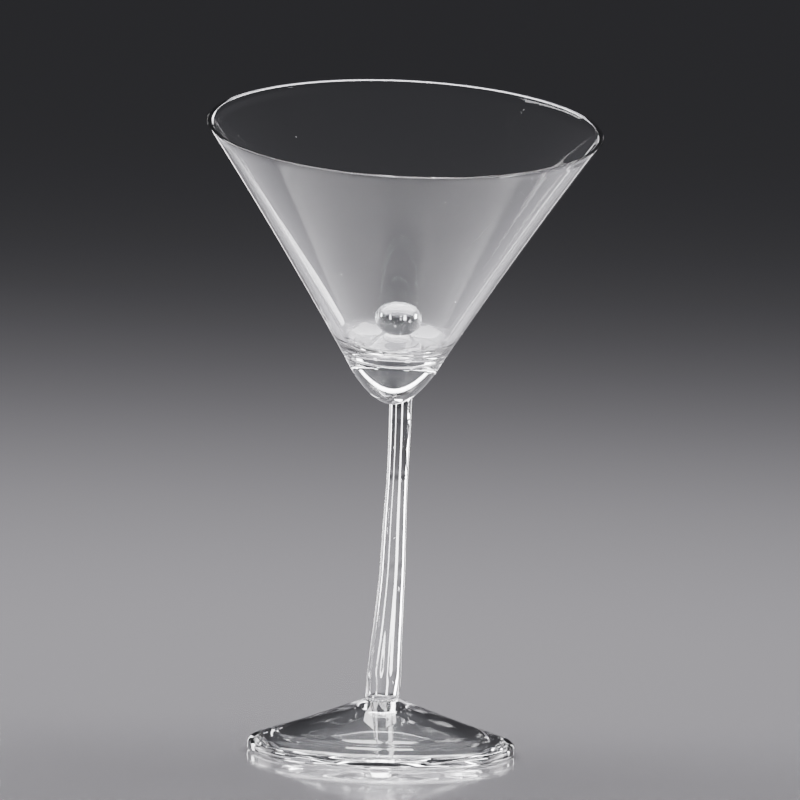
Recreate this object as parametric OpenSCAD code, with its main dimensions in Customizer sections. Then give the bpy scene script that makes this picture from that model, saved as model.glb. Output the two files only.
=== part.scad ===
// A martini glass on a crooked, hand-drawn stem, all of it hot-joined clear glass.
// The origin is the centre of the foot's resting plane, +Z is up, and the bowl leans towards -Y.

/* [Foot] */
// Diameter of the foot
foot_d = 74.2; // [70:0.2:78]
// Height at which the stem stands on the foot
foot_h = 15.2; // [14.4:0.2:16]
// Height of the upper corner of the outer edge
edge_h = 3.9; // [3.4:0.1:4.4]
// How far the conical top dips below a straight cone
foot_sag = 0.35; // [0:0.05:0.6]
// Outer diameter of the hollow under the foot
hollow_d = 65; // [60:0.5:66]
// Height of the hollow under the foot
hollow_h = 8.6; // [7:0.2:9]
// Diameter of the flat at the top of the hollow
hollow_flat_d = 11.6; // [10:0.2:13]

/* [Stem] */
// Diameter of the stem where it stands on the foot
stem_foot_d = 9.5; // [9:0.1:10]
// Diameter of the stem at its slimmest, near the top
stem_top_d = 6.4; // [6:0.1:7]
// How strongly the stem wanders from side to side, where 1 is the normal bend
stem_bend = 1; // [0.6:0.1:1.1]

/* [Boss] */
// Diameter of the solid boss where the bowl sits on it
boss_d = 28.4; // [27:0.2:30]
// Height of the boss
boss_h = 14; // [13:0.5:15]
// Roundness of the boss, where 0.5 is a paraboloid
boss_power = 0.52; // [0.48:0.01:0.54]

/* [Bowl] */
// Outer diameter of the rim
rim_d = 109.4; // [104:0.2:116]
// Height of the bowl from the boss to the rim
bowl_h = 65; // [60:0.5:70]
// Wall thickness at the rim
rim_wall = 1; // [0.8:0.1:1.5]
// Wall thickness at the floor
floor_wall = 2.1; // [1.8:0.1:2.6]
// How far the wall dips inside a straight cone, which gives a slight flare
wall_sag = 0.6; // [0:0.1:1]
// Thickness of the floor in its lowest ring
floor_t = 3; // [2.5:0.1:4]
// Rise of the floor towards its middle
floor_rise = 3.5; // [2:0.1:4]
// Lean of the bowl towards the front
lean_front = 10.6; // [9:0.1:11]
// Lean of the bowl towards the right
lean_side = 1.2; // [0:0.1:2]

/* [Bead] */
// Width of the bead on the floor of the bowl
bead_d = 13.2; // [11:0.1:14]
// Height of the bead
bead_h = 8.8; // [7.5:0.1:9.5]
// Width of the patch by which the bead is fused to the floor
bead_foot_d = 4.4; // [3:0.1:5]
// How far the bead sits to the right of the middle of the floor
bead_off = 0.7; // [0:0.1:1]

/* [Hidden] */
$fn = 96;
glass = [0.86, 0.89, 0.92, 0.35];
bead_glass = [0.8, 0.86, 0.92, 0.5];

// The outer edge of the foot: two roundings, one above the other.
edge_top_r = 2.2;
edge_low_r = 1.1;
edge_steps = 6;
cone_steps = 12;

// The bottom of the boss, in the same frame as the foot.
boss_at = [0.5, 6, 96.7];
boss_steps = 14;

// The route of the stem: x and y of its middle at each height, from the foot to inside the boss.
route = [
    [0, 0, 15.2],
    [0.3, 0.8, 21],
    [0.6, 1.8, 28],
    [1.3, 4.1, 39.5],
    [1.9, 6.3, 51],
    [2.2, 7.4, 64],
    [2.6, 8.4, 76],
    [2.9, 10.6, 88],
    [3.0, 11.7, 97],
    [3.2, 11.6, 105],
    [3.0, 11.2, 110]
];
// How the stem thins along that route: 1 is its width on the foot, 0 its width near the top.
route_thin = [1, 0.94, 0.74, 0.46, 0.24, 0.1, 0, 0.02, 0.04, 0.04, 0.04];
stem_steps = 3;
stem_sides = 32;

// The round parts of the bowl's inside.
corner_r = 8;
corner_steps = 7;
rise_steps = 8;
wall_steps = 10;
lip_steps = 4;
bead_steps = 12;

// The slopes of the foot's conical top and of the bowl's wall.
cone_slope = atan((foot_h - edge_h) / (foot_d - stem_foot_d) * 2);
wall_angle = atan((rim_d - boss_d) / 2 / bowl_h);

// A smooth curve through b and c, with a and d as its neighbours.
function smooth(a, b, c, d, t) =
    0.5 * (2 * b + (c - a) * t + (2 * a - 5 * b + 4 * c - d) * t * t + (3 * b - a - 3 * c + d) * t * t * t);

function clamp(i, last) = min(max(i, 0), last);

function along(list, i, t) =
    smooth(
        list[clamp(i - 1, len(list) - 1)],
        list[clamp(i, len(list) - 1)],
        list[clamp(i + 1, len(list) - 1)],
        list[clamp(i + 2, len(list) - 1)],
        t
    );

// A straight stem would run from the foot to the bottom of the boss. The bend is what it adds to that line.
function straight(z) = boss_at * (z - route[0][2]) / (boss_at[2] - route[0][2]);
function bent(p) =
    let (s = straight(p[2]))
    [s[0] + (p[0] - s[0]) * stem_bend, s[1] + (p[1] - s[1]) * stem_bend, p[2] + foot_h - route[0][2]];

// The middles and the radii of the stem's rings.
stem_rings = (len(route) - 1) * stem_steps + 1;
function on_route(list, k) = along(list, floor(k / stem_steps), (k % stem_steps) / stem_steps);
stem_mid = [for (k = [0 : stem_rings - 1]) bent(on_route(route, k))];
stem_r = [
    for (k = [0 : stem_rings - 1])
        (stem_top_d + (stem_foot_d - stem_top_d) * on_route(route_thin, k)) / 2
];

module foot() {
    edge_x = foot_d / 2;
    cone_end = edge_x - edge_top_r * (1 - sin(cone_slope));
    color(glass)
    rotate_extrude()
    polygon(concat(
        [[0, hollow_h], [hollow_flat_d / 2, hollow_h], [hollow_d / 2, 0]],
        [
            for (k = [0 : edge_steps])
                let (q = 90 * k / edge_steps)
                [edge_x - edge_low_r * (1 - sin(q)), edge_low_r * (1 - cos(q))]
        ],
        [
            for (k = [0 : edge_steps])
                let (q = (90 - cone_slope) * k / edge_steps)
                [edge_x - edge_top_r * (1 - cos(q)), edge_h + edge_top_r * (sin(q) - cos(cone_slope))]
        ],
        [
            for (k = [1 : cone_steps])
                let (u = 1 - k / cone_steps)
                [
                    stem_foot_d / 2 + (cone_end - stem_foot_d / 2) * u,
                    foot_h - (foot_h - edge_h) * u - 4 * foot_sag * u * (1 - u)
                ]
        ],
        [[0, foot_h]]
    ));
}

module stem_rod() {
    points = [
        for (i = [0 : stem_rings - 1])
            for (k = [0 : stem_sides - 1])
                let (q = 360 * k / stem_sides)
                stem_mid[i] + stem_r[i] * [cos(q), sin(q), 0]
    ];
    sides = [
        for (i = [0 : stem_rings - 2])
            for (k = [0 : stem_sides - 1])
                let (a = i * stem_sides, n = (k + 1) % stem_sides)
                [a + k, a + stem_sides + k, a + stem_sides + n, a + n]
    ];
    bottom = [for (k = [0 : stem_sides - 1]) k];
    top = [for (k = [stem_sides - 1 : -1 : 0]) (stem_rings - 1) * stem_sides + k];
    polyhedron(points, concat(sides, [bottom, top]));
}

module stem() {
    color(glass)
    difference() {
        stem_rod();
        leaning() boss_solid(room = 4);
    }
}

// Everything above the stem leans together.
module leaning() {
    translate(boss_at)
    rotate([lean_front, lean_side, 0])
    children();
}

// With room above it, it cuts the whole end of the stem, even where the boss is low.
module boss_solid(room = 0) {
    rotate_extrude()
    polygon(concat(
        [[0, 0]],
        [
            for (k = [1 : boss_steps])
                let (t = pow(k / boss_steps, 2))
                [boss_d / 2 * pow(t, boss_power), boss_h * t]
        ],
        room > 0 ? [[boss_d / 2, boss_h + room]] : [],
        [[0, boss_h + room]]
    ));
}

module boss() {
    color(glass)
    leaning()
    boss_solid();
}

// The wall of the bowl: how far out it stands at u, from 0 at the boss to 1 at the rim.
function wall_out(u) = boss_d / 2 + (rim_d - boss_d) / 2 * u - 4 * wall_sag * u * (1 - u);
function wall_in(u) = wall_out(u) - (floor_wall + (rim_wall - floor_wall) * u) / cos(wall_angle);

// The rounded corner between the floor and the wall.
corner_top = floor_t + corner_r * (1 - sin(wall_angle));
corner_x = wall_in(corner_top / bowl_h) - corner_r * cos(wall_angle);

// The lip: a tight outer corner, and a wider inner one that the fire has softened.
lip_out_r = 0.22;
lip_in_h = 0.35;
lip_u = 1 - lip_out_r / bowl_h;
lip_x = wall_out(lip_u) - lip_out_r;
lip_low = bowl_h - lip_in_h;
lip_in_x = wall_in(lip_low / bowl_h);

module bowl() {
    color(glass)
    leaning()
    translate([0, 0, boss_h])
    rotate_extrude()
    polygon(concat(
        [[0, 0]],
        [for (k = [0 : wall_steps]) [wall_out(lip_u * k / wall_steps), bowl_h * lip_u * k / wall_steps]],
        [
            for (k = [1 : lip_steps])
                let (q = 90 * k / lip_steps)
                [lip_x + lip_out_r * cos(q), bowl_h - lip_out_r * (1 - sin(q))]
        ],
        [
            for (k = [1 : 2 * lip_steps - 1])
                let (q = 45 * k / lip_steps)
                [lip_x - (lip_x - lip_in_x) * sin(q), lip_low + lip_in_h * cos(q)]
        ],
        [
            for (k = [wall_steps : -1 : 0])
                let (h = corner_top + (lip_low - corner_top) * k / wall_steps)
                [wall_in(h / bowl_h), h]
        ],
        [
            for (k = [1 : corner_steps])
                let (q = -wall_angle - (90 - wall_angle) * k / corner_steps)
                [corner_x + corner_r * cos(q), floor_t + corner_r * (1 + sin(q))]
        ],
        [
            for (k = [1 : rise_steps])
                [
                    corner_x - (corner_x - bead_foot_d / 2 - bead_off) * k / rise_steps,
                    floor_t + floor_rise * (1 - cos(180 * k / rise_steps)) / 2
                ]
        ],
        [[0, floor_t + floor_rise]]
    ));
}

module floor_bead() {
    start = asin(bead_foot_d / bead_d);
    mid = bead_h / (1 + cos(start));
    color(bead_glass)
    leaning()
    translate([bead_off, 0, boss_h + floor_t + floor_rise])
    rotate_extrude()
    polygon(concat(
        [[0, 0]],
        [
            for (k = [0 : bead_steps - 1])
                let (q = start + (180 - start) * k / bead_steps)
                [bead_d / 2 * sin(q), mid * (cos(start) - cos(q))]
        ],
        [[0, bead_h]]
    ));
}

foot();
stem();
boss();
bowl();
floor_bead();
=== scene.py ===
"""A clear martini glass on a crooked, hand-drawn stem, in a plain pale studio."""

import math

import bmesh
import bpy
import numpy as np
from mathutils import Matrix, Vector


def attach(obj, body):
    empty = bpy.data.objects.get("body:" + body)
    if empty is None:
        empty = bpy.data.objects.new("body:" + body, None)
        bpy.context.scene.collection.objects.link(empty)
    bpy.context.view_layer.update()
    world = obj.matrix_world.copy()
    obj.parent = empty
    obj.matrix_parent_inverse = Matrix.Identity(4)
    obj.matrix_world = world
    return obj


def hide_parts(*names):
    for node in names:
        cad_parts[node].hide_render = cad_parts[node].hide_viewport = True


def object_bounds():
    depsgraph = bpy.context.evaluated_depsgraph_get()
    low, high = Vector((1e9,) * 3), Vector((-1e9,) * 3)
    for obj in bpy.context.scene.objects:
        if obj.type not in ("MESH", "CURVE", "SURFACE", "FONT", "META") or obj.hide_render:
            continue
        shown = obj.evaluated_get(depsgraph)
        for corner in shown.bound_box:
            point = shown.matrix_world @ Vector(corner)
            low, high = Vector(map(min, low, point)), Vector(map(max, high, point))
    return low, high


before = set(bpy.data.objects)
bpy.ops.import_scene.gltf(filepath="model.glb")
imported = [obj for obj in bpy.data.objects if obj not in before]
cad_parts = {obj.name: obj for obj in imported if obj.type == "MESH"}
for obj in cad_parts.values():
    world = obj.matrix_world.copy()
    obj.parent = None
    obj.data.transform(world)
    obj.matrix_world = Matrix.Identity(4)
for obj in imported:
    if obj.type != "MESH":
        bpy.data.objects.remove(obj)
cad_low, cad_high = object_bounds()

MM = 0.001
TAU = 2 * math.pi

# ---------------------------------------------------------------- sizes, in millimetres
ROUND = 224                     # points in each ring round a piece
FILL = (0.66, 0.33)             # the rings that fill a fused face, as shares of its radius
JOINT_R = 14.2                  # where the bowl sits on the boss
BOSS_H = 14.0
BOSS_POWER = 0.52               # how round the boss is: 0.5 is a paraboloid
BOSS_AT = (0.5, 6.0, 96.7)      # the bottom of the boss
LEAN_FRONT, LEAN_SIDE = 10.6, 1.2   # in degrees, towards the front and the right
RIM_R = 54.7
BOWL_H = 65.0
WALL_SAG = 0.6                  # how far the wall dips inside a straight cone
RIM_WALL, FLOOR_WALL = 1.0, 2.1
LIP_OUTER_R, LIP_INNER_H = 0.22, 0.35
FLOOR_T, FLOOR_RISE = 3.0, 3.5
CORNER_R = 8.0                  # the round corner between the bowl's floor and wall
BEAD_R, BEAD_H, BEAD_PATCH_R, BEAD_OFF = 6.6, 8.8, 2.2, 0.7
FOOT_R, FOOT_H, EDGE_H = 37.1, 15.2, 3.9
FOOT_SAG = 0.35                 # how far the top of the foot dips below a straight cone
EDGE_TOP_R, EDGE_LOW_R = 2.2, 1.1   # the two roundings of the foot's edge
HOLLOW_R, FLAT_R, HOLLOW_H = 32.5, 5.8, 8.6
SHOULDER = 0.12                 # how soft the corner at the top of the hollow is
STEM_FOOT_R = 4.75
STEM_JOINT_R = 4.35             # the fused disc between stem and foot
GLASS_SLOT, JOINT_SLOT = 0, 1   # the two materials of every piece

WALL_ANGLE = math.atan((RIM_R - JOINT_R) / BOWL_H)
LEAN = (
    Matrix.Rotation(math.radians(LEAN_SIDE), 3, "Y")
    @ Matrix.Rotation(math.radians(LEAN_FRONT), 3, "X")
)


# ---------------------------------------------------------------- helpers
def smooth_curve(xs, ys, at):
    """A curve through the points that never overshoots them."""
    xs, ys, at = np.array(xs, float), np.array(ys, float), np.asarray(at, float)
    gap = np.diff(xs)
    rise = np.diff(ys) / gap
    # The slope at a point is a mean of the two beside it, or level where they go different ways.
    slope = np.zeros(len(xs))
    slope[0], slope[-1] = rise[0], rise[-1]
    for i in range(1, len(xs) - 1):
        if rise[i - 1] * rise[i] > 0:
            w1, w2 = 2 * gap[i] + gap[i - 1], gap[i] + 2 * gap[i - 1]
            slope[i] = (w1 + w2) / (w1 / rise[i - 1] + w2 / rise[i])
    i = np.clip(np.searchsorted(xs, at) - 1, 0, len(xs) - 2)
    t = (at - xs[i]) / gap[i]
    return (
        (2 * t**3 - 3 * t**2 + 1) * ys[i]
        + (t**3 - 2 * t**2 + t) * gap[i] * slope[i]
        + (-2 * t**3 + 3 * t**2) * ys[i + 1]
        + (t**3 - t**2) * gap[i] * slope[i + 1]
    )


def leaning(points):
    """Takes points from the bowl's own upright frame to the standing glass."""
    turn = np.array(LEAN)
    return np.asarray(points, float) @ turn.T + np.array(BOSS_AT)


class Shell:
    """Collects rings of points and the faces between them, then makes one closed mesh."""

    def __init__(self):
        self.points, self.faces, self.slots = [], [], []

    def ring(self, points):
        start = len(self.points)
        self.points += [tuple(map(float, p)) for p in points]
        return list(range(start, len(self.points)))

    def join(self, a, b, slot=GLASS_SLOT):
        """Faces between two rings. A ring of one point closes the shape."""
        n = max(len(a), len(b))
        for k in range(n):
            j = (k + 1) % n
            if len(a) == 1:
                face = (a[0], b[j], b[k])
            elif len(b) == 1:
                face = (a[k], a[j], b[0])
            else:
                face = (a[k], a[j], b[j], b[k])
            self.faces.append(face)
            self.slots.append(slot)

    def chain(self, rings, slot=GLASS_SLOT):
        for a, b in zip(rings, rings[1:]):
            self.join(a, b, slot)

    def turn_round(self, first):
        """Every face from this one on looks the other way."""
        for i in range(first, len(self.faces)):
            self.faces[i] = tuple(reversed(self.faces[i]))

    def bubble(self, middle, size):
        """A closed air bubble inside the glass. Its faces look into the air."""
        sides, levels = 16, 9
        x, y, z = middle
        wide, deep, tall = size
        rings = [self.ring([(x, y, z - tall)])]
        for i in range(1, levels):
            q = math.pi * i / levels
            turns = [TAU * k / sides for k in range(sides)]
            points = [
                (
                    x + wide * math.sin(q) * math.cos(turn),
                    y + deep * math.sin(q) * math.sin(turn),
                    z - tall * math.cos(q),
                )
                for turn in turns
            ]
            rings.append(self.ring(points))
        rings.append(self.ring([(x, y, z + tall)]))
        first = len(self.faces)
        self.chain(rings)
        self.turn_round(first)

    def make(self, name, materials):
        mesh = bpy.data.meshes.new(name)
        mesh.from_pydata([(x * MM, y * MM, z * MM) for x, y, z in self.points], [], self.faces)
        for m in materials:
            mesh.materials.append(m)
        mesh.polygons.foreach_set("material_index", self.slots)
        mesh.update()
        for p in mesh.polygons:
            p.use_smooth = True
        obj = bpy.data.objects.new(name, mesh)
        bpy.context.scene.collection.objects.link(obj)
        return obj


def turned(r, phases):
    """The x and y of points at these angles, r away from the axis."""
    return r * np.cos(phases), r * np.sin(phases)


EVEN = TAU * np.arange(ROUND) / ROUND   # the angle of each point of a ring


def circle(r, z):
    """A level ring of evenly spaced points, r away from the axis."""
    x, y = turned(r, EVEN)
    return np.stack([x, y, np.full(ROUND, z)], axis=1)


def ripple(phases, h, parts):
    """A slow, smooth unevenness: a sum of waves, each (size, waves round, waves per mm, phase)."""
    total = 0.0
    for size, around, along, start in parts:
        total = total + size * np.cos(around * phases + TAU * along * h + start)
    return total


# ---------------------------------------------------------------- materials
def new_material(name):
    mat = bpy.data.materials.new(name)
    mat.use_nodes = True
    nodes, links = mat.node_tree.nodes, mat.node_tree.links
    return mat, nodes, links, nodes["Principled BSDF"]


DARKER_TINT = 0.992             # the tint's darkest patches against its palest


def glass_material(name, tint, wave_scale, wave_mm, smear_scale, rough):
    """Clear glass with the slow waves of hand work and faint smears, which only its gloss shows."""
    mat, nodes, links, shader = new_material(name)
    shader.inputs["Transmission Weight"].default_value = 1.0
    shader.inputs["IOR"].default_value = 1.5
    coords = nodes.new("ShaderNodeTexCoord")

    cloud = nodes.new("ShaderNodeTexNoise")
    cloud.inputs["Scale"].default_value = wave_scale * 0.7
    cloud.inputs["Detail"].default_value = 1.0
    links.new(coords.outputs["Object"], cloud.inputs["Vector"])
    tone = nodes.new("ShaderNodeValToRGB")
    tone.color_ramp.elements[0].position = 0.35
    tone.color_ramp.elements[0].color = (*[c * DARKER_TINT for c in tint], 1)
    tone.color_ramp.elements[1].position = 0.7
    tone.color_ramp.elements[1].color = (*tint, 1)
    links.new(cloud.outputs["Fac"], tone.inputs["Fac"])
    links.new(tone.outputs["Color"], shader.inputs["Base Color"])

    smear = nodes.new("ShaderNodeTexNoise")
    smear.inputs["Scale"].default_value = smear_scale
    smear.inputs["Detail"].default_value = 3.0
    smear.inputs["Distortion"].default_value = 0.6
    links.new(coords.outputs["Object"], smear.inputs["Vector"])
    rough_range = nodes.new("ShaderNodeMapRange")
    rough_range.inputs["From Min"].default_value = 0.55
    rough_range.inputs["From Max"].default_value = 0.8
    rough_range.inputs["To Min"].default_value = 0.0
    rough_range.inputs["To Max"].default_value = rough
    links.new(smear.outputs["Fac"], rough_range.inputs["Value"])
    links.new(rough_range.outputs["Result"], shader.inputs["Roughness"])

    wave = nodes.new("ShaderNodeTexNoise")
    wave.inputs["Scale"].default_value = wave_scale
    wave.inputs["Detail"].default_value = 1.0
    wave.inputs["Roughness"].default_value = 0.4
    links.new(coords.outputs["Object"], wave.inputs["Vector"])
    bump = nodes.new("ShaderNodeBump")
    bump.inputs["Strength"].default_value = 1.0
    bump.inputs["Distance"].default_value = wave_mm * MM
    links.new(wave.outputs["Fac"], bump.inputs["Height"])
    links.new(bump.outputs["Normal"], shader.inputs["Normal"])
    return mat


def joint_material():
    """Where two pieces are melted together there is no surface, so light goes straight on."""
    mat, nodes, links, shader = new_material("melted_joint")
    nodes.remove(shader)
    clear = nodes.new("ShaderNodeBsdfTransparent")
    links.new(clear.outputs["BSDF"], nodes["Material Output"].inputs["Surface"])
    return mat


JOINT = joint_material()
# Each glass has a tint, the scale and depth of its waves, and the scale and roughness of its smears.
BOWL_GLASS = glass_material("bowl_glass", (0.985, 0.99, 0.993), 70, 0.014, 60, 0.05)
BOSS_GLASS = glass_material("boss_glass", (0.98, 0.987, 0.991), 160, 0.01, 90, 0.02)
BEAD_GLASS = glass_material("bead_glass", (0.98, 0.987, 0.991), 220, 0.008, 120, 0.02)
STEM_GLASS = glass_material("stem_glass", (0.98, 0.987, 0.991), 140, 0.02, 150, 0.05)
FOOT_GLASS = glass_material("foot_glass", (0.98, 0.988, 0.991), 110, 0.02, 70, 0.05)


# ---------------------------------------------------------------- the bowl
def wall_out(h):
    """The radius of the wall's outside, h above the boss."""
    u = h / BOWL_H
    return JOINT_R + (RIM_R - JOINT_R) * u - 4 * WALL_SAG * u * (1 - u)


def wall_in(h):
    """The radius of its inside: the wall thins from the floor to the rim."""
    u = h / BOWL_H
    return wall_out(h) - (FLOOR_WALL + (RIM_WALL - FLOOR_WALL) * u) / math.cos(WALL_ANGLE)


# The waves of the wall, each (size, waves round, waves per mm of height, phase).
OUTER_WAVES = [(0.04, 2, 0.004, 0.4), (0.008, 5, 0.008, 1.9), (0.002, 9, 0.015, 4.0)]
INNER_WAVES = [(0.04, 2, 0.004, 1.4), (0.012, 4, 0.01, 0.3), (0.003, 7, 0.02, 2.6)]
SEED_STRETCH = 1.3              # seeds in the wall were drawn longer as the bowl was blown


def bowl_ring(shell, r, h, waves=None, fade=1.0):
    """A ring about the bowl's own axis, h above the bottom of the boss."""
    wobble = ripple(EVEN, h, waves) * fade if waves else 0.0
    return shell.ring(leaning(circle(r + wobble, h)))


def offset_rings(shell, hole, middle, outer_r, height_at, steps):
    """Rings on a leaning surface, from an off-centre closed curve out to a circle about the axis."""
    hole = np.asarray(hole, float)
    ray = hole - middle
    # How many times its own length each ray has to grow to reach the circle: a quadratic equation.
    a = (ray**2).sum(1)
    b = 2 * (ray * middle).sum(1)
    c = (middle**2).sum() - outer_r**2
    reach = (-b + np.sqrt(b * b - 4 * a * c)) / (2 * a)
    outer = middle + ray * reach[:, None]
    rings = []
    for s in np.linspace(0, 1, steps + 1):
        flat = hole * (1 - s) + outer * s
        z = height_at(np.hypot(flat[:, 0], flat[:, 1]))
        rings.append(shell.ring(leaning(np.column_stack([flat, z]))))
    return rings, outer


def patch(shell, edge_ring, edge_flat, middle, height_at):
    """Fills a closed curve on a leaning surface with a fused face: a few rings and a middle point."""
    rings = [edge_ring]
    for s in FILL:
        flat = middle + (edge_flat - middle) * s
        z = height_at(np.hypot(flat[:, 0], flat[:, 1]))
        rings.append(shell.ring(leaning(np.column_stack([flat, z]))))
    z = height_at(np.array([np.hypot(*middle)]))
    rings.append(shell.ring(leaning(np.array([[middle[0], middle[1], z[0]]]))))
    shell.chain(rings, JOINT_SLOT)


def build_bowl():
    shell = Shell()
    # Along the bowl's own axis, h is the height above the top of the boss, and base + h above its bottom.
    base = BOSS_H
    lip_w = RIM_WALL / math.cos(WALL_ANGLE)
    lip_h = BOWL_H - LIP_INNER_H
    middle_ring = shell.ring(leaning([(0, 0, base)]))
    joint_rings = [middle_ring]
    for s in reversed(FILL):
        joint_rings.append(bowl_ring(shell, JOINT_R * s, base))
    edge = bowl_ring(shell, JOINT_R, base)
    joint_rings.append(edge)
    rings = [edge]
    # The waves grow from nothing, so that the bowl meets the boss on a true circle.
    calm_h = 8                      # the waves are whole from this height
    for h in np.linspace(0, lip_h, 66)[1:]:
        rings.append(bowl_ring(shell, wall_out(h), base + h, OUTER_WAVES, min(1.0, h / calm_h)))
    # The lip has a tight outer corner and a wider, fire-softened inner one.
    outer_h = BOWL_H - LIP_OUTER_R
    for h in np.linspace(lip_h, outer_h, 5)[1:]:
        rings.append(bowl_ring(shell, wall_out(h), base + h, OUTER_WAVES))
    lip_x = wall_out(outer_h) - LIP_OUTER_R
    for q in np.linspace(0, 90, 7)[1:]:
        q = math.radians(q)
        h = outer_h + LIP_OUTER_R * math.sin(q)
        rings.append(bowl_ring(shell, lip_x + LIP_OUTER_R * math.cos(q), base + h, OUTER_WAVES))
    inner_x = wall_out(lip_h) - lip_w
    for q in np.linspace(90, 180, 15)[1:-1]:
        q = math.radians(q)
        r = inner_x + (lip_x - inner_x) * (1 + math.cos(q))
        rings.append(bowl_ring(shell, r, base + lip_h + LIP_INNER_H * math.sin(q), OUTER_WAVES))
    # Within a millimetre of the lip, the inside has the outside's waves, which keeps the lip even.
    corner_top = FLOOR_T + CORNER_R * (1 - math.sin(WALL_ANGLE))
    for h in np.linspace(lip_h, corner_top, 64):
        waves = INNER_WAVES if h < lip_h - 1 else OUTER_WAVES
        rings.append(bowl_ring(shell, wall_in(h), base + h, waves))
    corner_x = wall_in(corner_top) - CORNER_R * math.cos(WALL_ANGLE)
    for q in np.linspace(-math.degrees(WALL_ANGLE), -90, 16)[1:]:
        q = math.radians(q)
        fade = max(0.0, (q + math.pi / 2) / (math.pi / 2 - WALL_ANGLE))
        rings.append(
            bowl_ring(
                shell,
                corner_x + CORNER_R * math.cos(q),
                base + FLOOR_T + CORNER_R * (1 + math.sin(q)),
                INNER_WAVES,
                fade,
            )
        )

    # The floor rises to the bead, and near the middle its rings go off-centre towards it.
    top_r = BEAD_PATCH_R + BEAD_OFF

    def floor_h(r):
        u = np.clip((corner_x - r) / (corner_x - top_r), 0, 1)
        return base + FLOOR_T + FLOOR_RISE * (1 - np.cos(math.pi * u)) / 2

    meet_r = top_r + 0.9            # where the rings start to go off-centre
    for r in np.linspace(corner_x, meet_r, 15)[1:-1]:
        rings.append(bowl_ring(shell, r, float(floor_h(r))))
    middle = np.array([BEAD_OFF, 0.0])
    hole = middle + BEAD_PATCH_R * np.stack([np.cos(EVEN), np.sin(EVEN)], axis=1)
    inner, _ = offset_rings(shell, hole, middle, meet_r, floor_h, 6)
    rings += list(reversed(inner))
    shell.chain(joint_rings, JOINT_SLOT)
    shell.chain(rings)
    patch(shell, inner[0], hole, middle, floor_h)
    # Seeds: tiny bubbles caught in the wall. Each has an angle, a height and a radius.
    for q, h, size in (
        (4.2, 30, 0.16),
        (4.9, 47, 0.13),
        (5.35, 22, 0.18),
        (3.6, 39, 0.12),
        (1.2, 35, 0.14),
        (2.3, 52, 0.12),
        (0.4, 25, 0.16),
        (4.55, 15, 0.2),
        (5.0, 12, 0.18),
        (3.0, 17, 0.15),
    ):
        r = (wall_out(h) + wall_in(h)) / 2
        spot = leaning([(r * math.cos(q), r * math.sin(q), base + h)])[0]
        shell.bubble(spot, (size, size, size * SEED_STRETCH))
    return shell.make("bowl_wall", [BOWL_GLASS, JOINT])


# ---------------------------------------------------------------- the stem's route
# The stem's middle: x follows a smooth curve, and y runs straight from bend to bend.
ROUTE_Z = [15.2, 21, 28, 39.5, 51, 64, 76, 88, 97, 105, 112, 120]
ROUTE_X = [0.0, 0.25, 0.6, 1.3, 1.9, 2.2, 2.6, 2.9, 3.0, 3.2, 3.3, 3.3]
KINK_Z = [15.2, 28, 51.5, 76, 92.5, 105, 122]
KINK_Y = [0.0, 1.9, 6.0, 8.8, 11.3, 11.7, 11.3]
# Its radius at each height.
THIN_Z = [15.2, 21, 28, 39.5, 51, 64, 76, 88, 105, 120]
THIN_R = [4.75, 4.62, 4.3, 3.9, 3.6, 3.3, 3.02, 3.12, 3.22, 3.22]
# Each ring round the stem: its height, its width, and how far it stands out, as a share of the radius.
STEM_RINGS = (
    (92.0, 0.8, 0.004),
    (76.6, 0.7, 0.007),
    (75.2, 0.7, -0.005),
    (59.5, 0.7, 0.004),
    (52.4, 0.9, 0.006),
    (50.2, 1.2, -0.005),
    (47.5, 1.5, 0.004),
    (28.5, 1.6, 0.006),
)
KINK_SOFT = 6.5                 # how far each bend is spread, below and above its height
ROUND_BELOW, UNEVEN_OVER = 16, 6    # the stem starts round, and its unevenness grows above that
DEEP_BELOW, DEEP_OVER, DEEPER = 46, 24, 2.2     # the drawn lines grow deeper towards the foot


def softened_kinks(z):
    """The y of a route that runs straight from bend to bend, with each bend spread a little."""
    spread = np.linspace(-KINK_SOFT, KINK_SOFT, 15)
    return np.mean([np.interp(z + s, KINK_Z, KINK_Y) for s in spread], axis=0)


def stem_middle(z):
    """The x and y of the stem's middle. It starts on the middle of the foot."""
    z = np.asarray(z, float)
    x = smooth_curve(ROUTE_Z, ROUTE_X, z)
    near_foot = np.clip(1 - (z - ROUTE_Z[0]) / KINK_SOFT, 0, 1)
    y = softened_kinks(z) - softened_kinks(ROUTE_Z[0]) * near_foot
    return x, y


def stem_radius(z, q):
    """The stem isn't quite round, and its flats turn slowly as it rises."""
    z = np.asarray(z, float)
    r = smooth_curve(THIN_Z, THIN_R, z)
    fade = np.clip((z - ROUND_BELOW) / UNEVEN_OVER, 0, 1)
    oval = 0.022 * np.cos(2 * (q - 0.6 - 0.012 * z)) + 0.010 * np.cos(3 * q + 0.05 * z)
    # Fine lines along the drawn rod, and the faint rings where it was gripped and bent.
    drawn = 0.009 * np.cos(5 * q + 0.4 + 0.02 * z)
    drawn = drawn + 0.007 * np.cos(9 * q + 0.03 * z) + 0.002 * np.cos(14 * q + 2.0)
    rings = 0.0
    for at, wide, size in STEM_RINGS:
        rings = rings + size * np.exp(-(((z - at) / wide) ** 2))
    # The lines are deepest near the foot, where the rod was pulled the least.
    drawn = drawn * (1 + DEEPER * np.clip((DEEP_BELOW - z) / DEEP_OVER, 0, 1))
    return r * (1 + fade * (oval + drawn + rings))


def boss_h(r):
    """The height of the boss's round surface, r away from its axis."""
    return BOSS_H * (np.asarray(r, float) / JOINT_R) ** (1 / BOSS_POWER)


def local(points):
    """Points of the standing glass in the bowl's own frame: the reverse of leaning."""
    return (np.asarray(points, float) - np.array(BOSS_AT)) @ np.array(LEAN)


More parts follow.
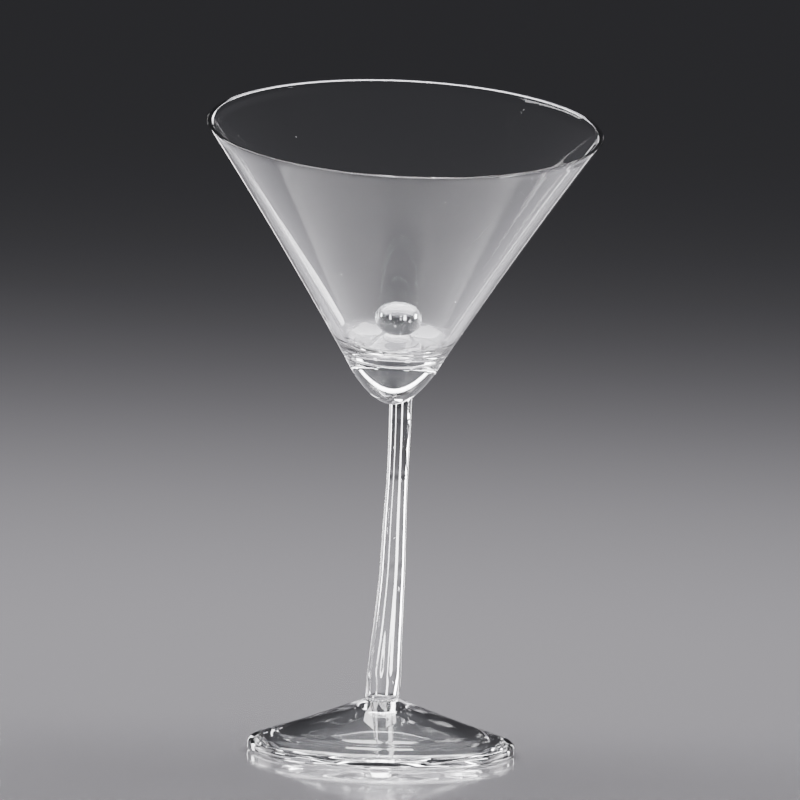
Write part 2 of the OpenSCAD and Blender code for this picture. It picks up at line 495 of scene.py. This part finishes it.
FLARE, FLARE_H = 0.5, 2.4       # the stem widens a little where it melts into the boss


def stem_top():
    """The height at which each line along the stem meets the boss."""
    heights = np.zeros(ROUND)
    for k, q in enumerate(EVEN):
        # Halve the stretch between a height below the boss's surface and one inside the boss.
        low, high = 92.0, 118.0
        for _ in range(40):
            z = (low + high) / 2
            x, y = stem_middle(z)
            r = stem_radius(z, q) + FLARE
            p = local([(x + r * math.cos(q), y + r * math.sin(q), z)])[0]
            if p[2] > boss_h(np.hypot(p[0], p[1])):
                high = z
            else:
                low = z
        heights[k] = z
    return heights


STEM_TOP = stem_top()


def stem_ring_at(z, top):
    """A ring of the stem. z and top are arrays, one number for each line along the stem."""
    x, y = stem_middle(z)
    r = stem_radius(z, EVEN) + FLARE * np.clip(1 - (top - z) / FLARE_H, 0, 1) ** 2
    return np.stack([x + r * np.cos(EVEN), y + r * np.sin(EVEN), z], axis=1)


def close_on_boss(shell, edge_ring, edge_points):
    """The patch where stem and boss are one: it lies on the boss's own round surface."""
    flat = local(edge_points)[:, :2]
    patch(shell, edge_ring, flat, flat.mean(0), boss_h)


def build_stem():
    shell = Shell()
    rings = [shell.ring([(0, 0, FOOT_H)])]
    for r in (STEM_JOINT_R * 0.5, STEM_JOINT_R):
        rings.append(shell.ring(circle(r, FOOT_H)))
    shell.chain(rings, JOINT_SLOT)
    # The rounded lower edge, which leaves a fine groove above the foot.
    body = [rings[-1]]
    edge, edge_h = STEM_FOOT_R - STEM_JOINT_R, 0.45
    for q in (25, 50, 75):
        r = STEM_JOINT_R + edge * math.sin(math.radians(q))
        z = FOOT_H + edge_h * (1 - math.cos(math.radians(q)))
        body.append(shell.ring(circle(r, z)))
    # Level rings up to a little below the boss, then rings that tilt to its surface.
    start, last = FOOT_H + 0.5, float(STEM_TOP.min()) - 3.5
    for z in np.linspace(start, last, 170):
        body.append(shell.ring(stem_ring_at(np.full(ROUND, z), STEM_TOP)))
    for s in np.linspace(0, 1, 13)[1:]:
        z = last + (STEM_TOP - last) * s
        body.append(shell.ring(stem_ring_at(z, STEM_TOP)))
    shell.chain(body)
    edge_points = stem_ring_at(STEM_TOP, STEM_TOP)
    close_on_boss(shell, body[-1], edge_points)
    # Seeds, drawn out along the rod: each has a height, a place off the middle, and its radii.
    for z, dx, dy, size in (
        (75.2, 0.9, -1.2, (0.22, 0.22, 0.3)),
        (65.5, -1.5, -0.9, (0.13, 0.13, 2.2)),
        (61.0, -1.3, 0.4, (0.1, 0.1, 1.1)),
        (59.2, 0.1, -1.6, (0.2, 0.2, 0.24)),
        (45.0, 1.4, 0.6, (0.12, 0.12, 0.8)),
        (36.0, -2.1, -1.0, (0.14, 0.14, 1.6)),
        (31.5, 0.6, 1.9, (0.2, 0.2, 0.26)),
        (24.0, -1.4, 1.2, (0.24, 0.24, 0.4)),
        (19.6, 2.2, -1.1, (0.2, 0.2, 0.5)),
        (84.0, -0.8, 0.7, (0.1, 0.1, 0.5)),
    ):
        x, y = stem_middle(z)
        shell.bubble((x + dx, y + dy, z), size)
    return shell.make("stem_rod", [STEM_GLASS, JOINT])


# ---------------------------------------------------------------- the boss
def build_boss():
    shell = Shell()
    edge_points = stem_ring_at(STEM_TOP, STEM_TOP)
    flat = local(edge_points)[:, :2]
    middle = flat.mean(0)
    turn_r = 11.0                   # where the rings round the stem become circles
    rings, outer = offset_rings(shell, flat, middle, turn_r, boss_h, 22)
    # Reuse the stem's own edge, so that both patches share their border exactly.
    for index, point in zip(rings[0], edge_points):
        shell.points[index] = tuple(map(float, point))
    # From there to the bowl, the points slide along their circles until they are evenly spaced.
    uneven = np.unwrap(np.arctan2(outer[:, 1], outer[:, 0]))
    shift = round(float((uneven - EVEN).mean()) / TAU) * TAU
    even = EVEN + shift
    body = list(rings)
    steps = 12
    for i in range(1, steps + 1):
        s = i / steps
        r = turn_r + (JOINT_R - turn_r) * s
        ease = s * s * (3 - 2 * s)
        x, y = turned(r, uneven * (1 - ease) + even * ease)
        body.append(shell.ring(leaning(np.stack([x, y, boss_h(np.full(ROUND, r))], axis=1))))
    shell.chain(body)
    tops = [body[-1]]
    for s in FILL:
        tops.append(shell.ring(leaning(circle(JOINT_R * s, BOSS_H))))
    tops.append(shell.ring(leaning([(0, 0, BOSS_H)])))
    shell.chain(tops, JOINT_SLOT)
    # Here the patch closes the boss from below, so it looks the other way than on the stem.
    first = len(shell.faces)
    close_on_boss(shell, rings[0], edge_points)
    shell.turn_round(first)
    for spot, size in (
        ((-5.0, -6.0, 9.0), 0.22),
        ((3.2, -4.0, 7.5), 0.16),
        ((6.8, 2.0, 10.5), 0.18),
        ((-2.2, 5.0, 8.2), 0.2),
    ):
        shell.bubble(leaning([spot])[0], (size, size, size))
    return shell.make("boss_solid", [BOSS_GLASS, JOINT])


# ---------------------------------------------------------------- the bead on the floor
def build_bead():
    shell = Shell()
    base = BOSS_H + FLOOR_T + FLOOR_RISE
    start = math.asin(BEAD_PATCH_R / BEAD_R)
    tall = BEAD_H / (1 + math.cos(start))

    def ring(r, h):
        return shell.ring(leaning(circle(r, base + h) + (BEAD_OFF, 0, 0)))

    bottom = [shell.ring(leaning([(BEAD_OFF, 0, base)]))]
    bottom += [ring(BEAD_PATCH_R * s, 0) for s in reversed(FILL)]
    edge = ring(BEAD_PATCH_R, 0)
    shell.chain(bottom + [edge], JOINT_SLOT)
    body = [edge]
    for q in np.linspace(start, math.pi, 64)[1:-1]:
        r = BEAD_R * math.sin(q) * (1 + 0.006 * math.sin(3 * q))
        body.append(ring(r, tall * (math.cos(start) - math.cos(q))))
    body.append(shell.ring(leaning([(BEAD_OFF, 0, base + BEAD_H)])))
    shell.chain(body)
    for spot, size in (
        ((-1.8, -2.2, 5.6), 0.2),
        ((2.4, -1.4, 4.0), 0.24),
        ((0.4, 2.0, 3.0), 0.16),
        ((-0.6, -2.8, 3.4), 0.18),
    ):
        place = leaning([(spot[0] + BEAD_OFF, spot[1], base + spot[2])])[0]
        shell.bubble(place, (size, size, size))
    return shell.make("bead_solid", [BEAD_GLASS, JOINT])


# ---------------------------------------------------------------- the foot
def build_foot():
    shell = Shell()
    slope = math.atan((FOOT_H - EDGE_H) / (FOOT_R - STEM_FOOT_R))
    cone_end = FOOT_R - EDGE_TOP_R * (1 - math.sin(slope))
    top_waves = [(0.035, 3, 0.0, 0.7), (0.02, 7, 0.0, 2.2), (0.012, 11, 0.0, 4.4)]
    edge_waves = [(0.05, 3, 0.0, 0.7), (0.012, 8, 0.0, 2.2), (0.003, 13, 0.0, 4.4)]

    def ring(r, z, out=0.0, up=0.0):
        """A ring of the foot. out and up say how much of the waves it takes, sideways and in height."""
        x, y = turned(r + out * ripple(EVEN, 0, edge_waves), EVEN)
        return shell.ring(np.stack([x, y, z + up * ripple(EVEN, 0, top_waves)], axis=1))

    body = [shell.ring([(0, 0, HOLLOW_H)])]
    # The hollow: a flat top with a soft shoulder, then a cone down to the standing ring.
    line = []
    fine_r = 9                      # the rings are closer together inside this radius
    for r in np.concatenate([np.linspace(0, fine_r, 37)[1:], np.linspace(fine_r, HOLLOW_R - 0.4, 25)[1:]]):
        cone = HOLLOW_H * (HOLLOW_R - r) / (HOLLOW_R - FLAT_R)
        both = math.exp(-HOLLOW_H / SHOULDER) + math.exp(-cone / SHOULDER)
        line.append((r, -SHOULDER * math.log(both)))
    line += [(HOLLOW_R + 0.1, 0.04), (HOLLOW_R + 0.5, 0.0), (FOOT_R - EDGE_LOW_R - 0.3, 0.0)]
    wavy_r, wavy_w = 20, 12         # the hollow is uneven in a band round this radius
    for r, z in line:
        mid = max(0.0, 1 - abs(r - wavy_r) / wavy_w)
        body.append(ring(r, z, up=0.6 * mid))
    # The outer edge: two roundings, one above the other.
    for q in np.linspace(0, 90, 9):
        q = math.radians(q)
        r = FOOT_R - EDGE_LOW_R * (1 - math.sin(q))
        body.append(ring(r, EDGE_LOW_R * (1 - math.cos(q)), out=math.sin(q)))
    for q in np.linspace(0, 90 - math.degrees(slope), 12):
        q = math.radians(q)
        body.append(
            ring(
                FOOT_R - EDGE_TOP_R * (1 - math.cos(q)),
                EDGE_H + EDGE_TOP_R * (math.sin(q) - math.cos(slope)),
                out=math.cos(q),
                up=math.sin(q),
            )
        )
    # The cone, up to the neck.
    neck_r = STEM_FOOT_R + 0.45
    step_r, dip_r = 31.2, 29.0      # a shallow pressed step near the edge: it stands out, then dips
    step_h, calm_w = 0.10, 6        # its height, and how far from the neck the waves are whole
    for u in np.linspace(1, 0, 40)[1:]:
        r = neck_r + (cone_end - neck_r) * u
        v = (r - STEM_FOOT_R) / (cone_end - STEM_FOOT_R)
        z = FOOT_H - (FOOT_H - EDGE_H) * v - 4 * FOOT_SAG * v * (1 - v)
        z += step_h * math.exp(-(((r - step_r) / 1.0) ** 2))
        z -= step_h * math.exp(-(((r - dip_r) / 1.1) ** 2))
        body.append(ring(r, z, up=min(1.0, (r - neck_r) / calm_w)))
    # The groove between the neck and the fused disc.
    top = z
    body.append(ring(STEM_JOINT_R + 0.42, top + (FOOT_H - top) * 0.45))
    body.append(ring(STEM_JOINT_R + 0.14, top + (FOOT_H - top) * 0.85))
    edge = ring(STEM_JOINT_R, FOOT_H)
    body.append(edge)
    shell.chain(body)
    tops = [edge, ring(STEM_JOINT_R * 0.5, FOOT_H), shell.ring([(0, 0, FOOT_H)])]
    shell.chain(tops, JOINT_SLOT)
    # Seeds: each has an angle, a distance from the axis, a height and a radius.
    for q, r, z, size in (
        (4.3, 24, 6.2, 0.18),
        (4.0, 20, 8.0, 0.14),
        (5.1, 27, 4.6, 0.2),
        (2.2, 22, 7.2, 0.16),
        (3.5, 15, 9.5, 0.13),
        (0.7, 25, 5.6, 0.16),
        (4.75, 12, 10.6, 0.15),
    ):
        shell.bubble((r * math.cos(q), r * math.sin(q), z), (size, size, size * 0.8))
    return shell.make("foot_disc", [FOOT_GLASS, JOINT])


def outward(obj):
    """Every closed shell faces out of the glass: the outer one outwards, and a bubble into its air."""
    bm = bmesh.new()
    bm.from_mesh(obj.data)
    bm.verts.ensure_lookup_table()
    seen, shells = set(), []
    for v in bm.verts:
        if v.index in seen:
            continue
        stack, faces = [v], set()
        seen.add(v.index)
        while stack:
            for e in stack.pop().link_edges:
                faces.update(e.link_faces)
                for w in e.verts:
                    if w.index not in seen:
                        seen.add(w.index)
                        stack.append(w)
        shells.append(list(faces))
    shells.sort(key=len, reverse=True)
    for i, faces in enumerate(shells):
        bmesh.ops.recalc_face_normals(bm, faces=faces)
        volume = sum(
            (f.calc_center_median() - obj.location).dot(f.normal) * f.calc_area() for f in faces
        )
        if (volume < 0) == (i == 0):
            bmesh.ops.reverse_faces(bm, faces=faces)
    bm.to_mesh(obj.data)
    bm.free()
    return obj


PIECES = (
    (build_bowl, "bowl", "bowl_glass"),
    (build_bead, "floor_bead", "bead_glass"),
    (build_boss, "boss", "boss_glass"),
    (build_stem, "stem", "stem_glass"),
    (build_foot, "foot", "foot_glass"),
)
for build, node, slot_name in PIECES:
    piece = outward(build())
    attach(piece, "root")
    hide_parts(node)


# ---------------------------------------------------------------- the studio
FLOOR_RADIUS, FLOOR_SIDES = 12.0, 96    # the radius is in metres
FLOOR_GAP = 0.00002             # metres below the foot, so that the two faces don't flicker


def floor_material():
    """A plain pale satin sheet, which mirrors the soft box above it a little."""
    mat, nodes, links, shader = new_material("studio_floor")
    coords = nodes.new("ShaderNodeTexCoord")
    grain = nodes.new("ShaderNodeTexNoise")
    grain.inputs["Scale"].default_value = 2.0
    grain.inputs["Detail"].default_value = 3.0
    links.new(coords.outputs["Object"], grain.inputs["Vector"])
    tone = nodes.new("ShaderNodeValToRGB")
    tone.color_ramp.elements[0].color = (0.365, 0.36, 0.375, 1)
    tone.color_ramp.elements[1].color = (0.375, 0.37, 0.385, 1)
    links.new(grain.outputs["Fac"], tone.inputs["Fac"])
    links.new(tone.outputs["Color"], shader.inputs["Base Color"])
    shader.inputs["Roughness"].default_value = 0.09
    shader.inputs["Specular IOR Level"].default_value = 1.0
    shader.inputs["Coat Weight"].default_value = 0.7
    shader.inputs["Coat Roughness"].default_value = 0.06
    return mat


def build_floor():
    mesh = bpy.data.meshes.new("studio_floor")
    turns = [TAU * k / FLOOR_SIDES for k in range(FLOOR_SIDES)]
    points = [(FLOOR_RADIUS * math.cos(turn), FLOOR_RADIUS * math.sin(turn), 0.0) for turn in turns]
    mesh.from_pydata(points, [], [tuple(range(FLOOR_SIDES))])
    mesh.materials.append(floor_material())
    obj = bpy.data.objects.new("studio_floor", mesh)
    obj.location.z = cad_low[2] - FLOOR_GAP
    bpy.context.scene.collection.objects.link(obj)


def softbox(name, place, size, power, aim, spread=180):
    """A soft rectangular light, in metres, watts and degrees, which the camera doesn't see."""
    light = bpy.data.lights.new(name, "AREA")
    light.shape = "RECTANGLE"
    light.size, light.size_y = size
    light.energy = power
    light.spread = math.radians(spread)
    light.color = (1.0, 0.985, 1.0)
    obj = bpy.data.objects.new(name, light)
    obj.location = place
    obj.rotation_euler = (Vector(aim) - Vector(place)).to_track_quat("-Z", "Y").to_euler()
    obj.visible_camera = False
    bpy.context.scene.collection.objects.link(obj)


build_floor()
# The floor mirrors the top box, which draws the bright field on the front of the bowl. The strips
# at the back draw the bright lines along the stem, and their spread keeps them off the floor.
softbox("top_box", (-0.06, 0.33, 0.85), (1.5, 0.86), 34.0, (-0.06, 0.33, 0.0))
softbox("back_left_box", (-0.95, 1.3, 0.14), (0.25, 0.26), 3.0, (0.0, 0.0, 0.06))
softbox("back_right_box", (1.05, 1.4, 0.12), (0.12, 0.22), 1.5, (0.0, 0.0, 0.06))
softbox("left_strip", (-0.3, 1.7, 0.15), (0.13, 0.28), 0.075, (0.0, 0.0, 0.08), 70)
softbox("right_strip", (0.42, 1.7, 0.15), (0.08, 0.28), 0.045, (0.0, 0.0, 0.08), 70)
softbox("left_box", (-1.1, 0.6, 0.2), (0.5, 0.4), 1.5, (0.0, 0.0, 0.1))
softbox("right_box", (1.1, 0.6, 0.2), (0.5, 0.4), 1.3, (0.0, 0.0, 0.1))


def build_world():
    """Dim at the horizon and a little lighter overhead, and the same all round."""
    world = bpy.data.worlds.new("studio_air")
    bpy.context.scene.world = world
    world.use_nodes = True
    nodes, links = world.node_tree.nodes, world.node_tree.links
    coords = nodes.new("ShaderNodeTexCoord")
    parts = nodes.new("ShaderNodeSeparateXYZ")
    links.new(coords.outputs["Generated"], parts.inputs["Vector"])
    ramp = nodes.new("ShaderNodeValToRGB")
    ramp.color_ramp.elements[0].position = 0.1
    ramp.color_ramp.elements[0].color = (0.035, 0.035, 0.038, 1)
    ramp.color_ramp.elements[1].position = 0.6
    ramp.color_ramp.elements[1].color = (0.14, 0.14, 0.15, 1)
    links.new(parts.outputs["Z"], ramp.inputs["Fac"])
    links.new(ramp.outputs["Color"], nodes["Background"].inputs["Color"])


build_world()

# ---------------------------------------------------------------- the camera
DISTANCE, HEIGHT_ANGLE, ROLL = 2.5, 7.5, 1.57   # in metres, and the angles in degrees
AIM = Vector((0.0027, 0.0, 0.0983))
rise = math.radians(HEIGHT_ANGLE)
camera = bpy.data.objects.new("camera", bpy.data.cameras.new("camera"))
bpy.context.scene.collection.objects.link(camera)
camera.location = (0.0, -DISTANCE * math.cos(rise), DISTANCE * math.sin(rise))
look = (AIM - camera.location).to_track_quat("-Z", "Y")
camera.rotation_euler = (look.to_matrix() @ Matrix.Rotation(math.radians(ROLL), 3, "Z")).to_euler()
camera.data.lens = 405
camera.data.sensor_width = 36
camera.data.clip_end = 60
bpy.context.scene.camera = camera

scene = bpy.context.scene
scene.cycles.max_bounces = 24
scene.cycles.transmission_bounces = 24
scene.cycles.glossy_bounces = 12
scene.cycles.diffuse_bounces = 3
scene.cycles.transparent_max_bounces = 24
scene.cycles.use_denoising = True
scene.view_settings.view_transform = "AgX"
scene.view_settings.look = "AgX - Medium High Contrast"
scene.view_settings.exposure = 0.0
